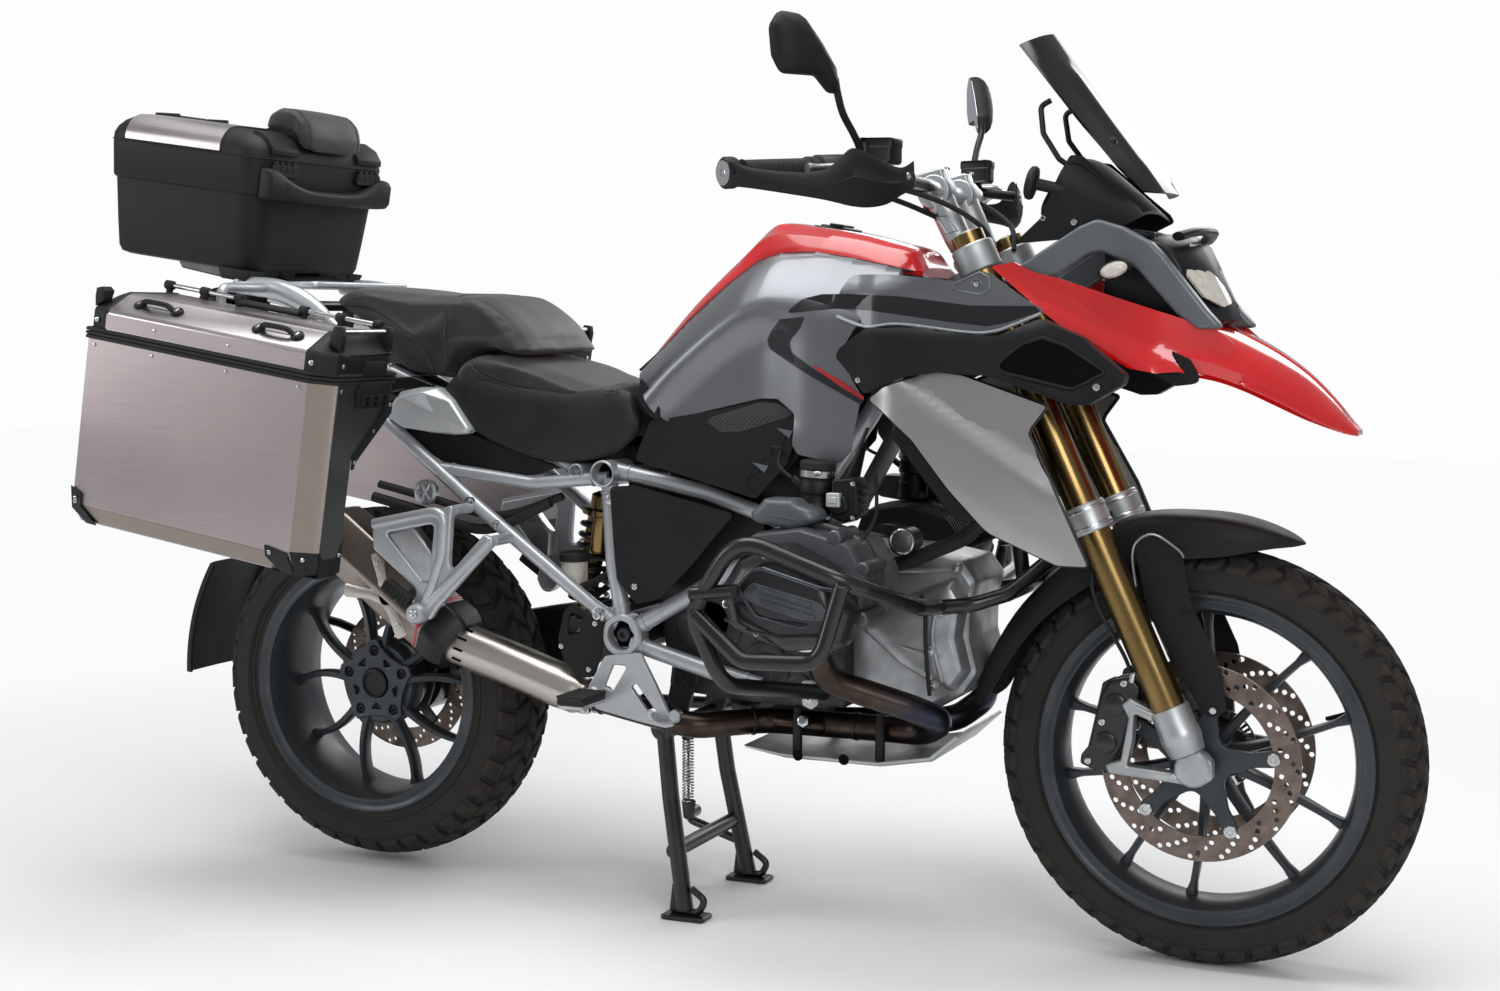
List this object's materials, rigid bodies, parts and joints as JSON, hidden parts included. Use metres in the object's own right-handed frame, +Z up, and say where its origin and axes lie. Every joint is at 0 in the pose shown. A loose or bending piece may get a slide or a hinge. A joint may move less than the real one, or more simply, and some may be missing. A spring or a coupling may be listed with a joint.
{
  "type": "adventure motorcycle",
  "caption": "Tall adventure motorcycle with an open flat-twin engine, on its centre stand, with metal side cases, a top case, turning fork and wheels and hinged lids.",
  "frame": {"origin": "on the ground, below the middle of the machine's length and width", "axes": "+X forward, +Y to the rider's left, +Z up"},
  "size_m": [2.3121, 0.9717, 1.438],
  "materials": {
    "frame_silver": "satin silver powder coat",
    "cast_grey": "cast grey engine casing",
    "cover_black": "semi-gloss dark coating",
    "black_plastic": "moulded matte black",
    "grey_plastic": "moulded grey",
    "steel_black": "gloss black powder coat",
    "header_steel": "heat-tinted",
    "silencer_steel": "brushed stainless",
    "tank_grey": "metallic lacquer",
    "red_paint": "gloss red lacquer",
    "panel_silver": "satin silver lacquer",
    "lamp_glass": "clear lens over reflector",
    "screen_black": "smoked acrylic",
    "seat_vinyl": "grained vinyl",
    "rack_silver": "pale silver lacquer",
    "case_aluminium": "brushed",
    "case_black": "textured black",
    "fork_gold": "gold anodised",
    "bare_aluminium": "machined",
    "axle_steel": "ground",
    "rim_grey": "dark grey coat",
    "tyre_rubber": "rubber",
    "disc_steel": "drilled steel",
    "grip_rubber": "soft rubber"
  },
  "bodies": {
    "chassis": {"main_frame": "frame_silver", "crankcase": "cast_grey", "cylinders": "cast_grey", "head_covers": "cover_black", "throttle_bodies": "black_plastic", "engine_guards": "steel_black", "exhaust_pipes": "header_steel", "silencer": "silencer_steel", "swingarm": "cover_black", "rear_spring_leg": "fork_gold", "front_link": "steel_black", "radiators": "black_plastic", "tank_shell": "tank_grey", "tank_top": "red_paint", "intake_scoops": "black_plastic", "side_panels": "panel_silver", "seat_side_covers": "black_plastic", "frame_covers": "black_plastic", "beak": "red_paint", "headlight": "lamp_glass", "headlight_hoops": "grey_plastic", "windscreen": "screen_black", "cockpit": "black_plastic", "indicators": "lamp_glass", "rider_seat": "seat_vinyl", "passenger_seat": "seat_vinyl", "luggage_rack": "rack_silver", "case_carriers": "frame_silver", "rear_mudguard": "black_plastic", "tail_bracket": "black_plastic", "footpegs": "bare_aluminium", "passenger_hangers": "frame_silver", "skid_plate": "bare_aluminium", "right_case_box": "case_aluminium", "left_case_box": "case_aluminium", "top_case_box": "case_black"},
    "steering": {"fork_tubes": "fork_gold", "fork_feet": "bare_aluminium", "front_axle": "axle_steel", "fork_bridges": "bare_aluminium", "front_calipers": "cover_black", "front_mudguard": "black_plastic", "handlebar": "bare_aluminium", "bar_controls": "grip_rubber", "hand_guards": "black_plastic", "mirrors": "black_plastic"},
    "front_wheel": {"front_tyre": "tyre_rubber", "front_rim": "rim_grey", "front_brake_discs": "disc_steel"},
    "rear_wheel": {"rear_tyre": "tyre_rubber", "rear_rim": "rim_grey", "rear_brake_disc": "disc_steel"},
    "centre_stand": {"centre_stand": "steel_black"},
    "side_stand": {"side_stand": "steel_black"},
    "right_lid": {"right_case_lid": "case_aluminium"},
    "left_lid": {"left_case_lid": "case_aluminium"},
    "top_lid": {"top_case_lid": "case_black", "top_case_backrest": "seat_vinyl"}
  },
  "joints": [
    {"name": "steering", "type": "hinge", "parent": "chassis", "child": "steering", "pos_m": [0.63234, 0, 0.64], "axis": [-0.4305, 0, 0.9026], "range_deg": [-38, 38]},
    {"name": "front_wheel_spin", "type": "hinge", "parent": "steering", "child": "front_wheel", "pos_m": [0.838, 0, 0.326], "axis": [0, 1, 0], "continuous": true},
    {"name": "rear_wheel_spin", "type": "hinge", "parent": "chassis", "child": "rear_wheel", "pos_m": [-0.669, 0, 0.3336], "axis": [0, 1, 0], "continuous": true},
    {"name": "centre_stand_fold", "type": "hinge", "parent": "chassis", "child": "centre_stand", "pos_m": [-0.048, 0, 0.314], "axis": [0, 1, 0], "range_deg": [0, 75]},
    {"name": "side_stand_swing", "type": "hinge", "parent": "chassis", "child": "side_stand", "pos_m": [0.038, 0.15, 0.318], "axis": [0, -0.9592, -0.2827], "range_deg": [0, 98]},
    {"name": "right_lid_hinge", "type": "hinge", "parent": "chassis", "child": "right_lid", "pos_m": [-0.92335, -0.396, 0.98226], "axis": [0, -1, 0], "range_deg": [0, 75]},
    {"name": "left_lid_hinge", "type": "hinge", "parent": "chassis", "child": "left_lid", "pos_m": [-0.92335, 0.308, 0.98226], "axis": [0, -1, 0], "range_deg": [0, 75]},
    {"name": "top_lid_hinge", "type": "hinge", "parent": "chassis", "child": "top_lid", "pos_m": [-0.78276, 0, 1.27701], "axis": [0, 1, 0], "range_deg": [0, 70]}
  ]
}
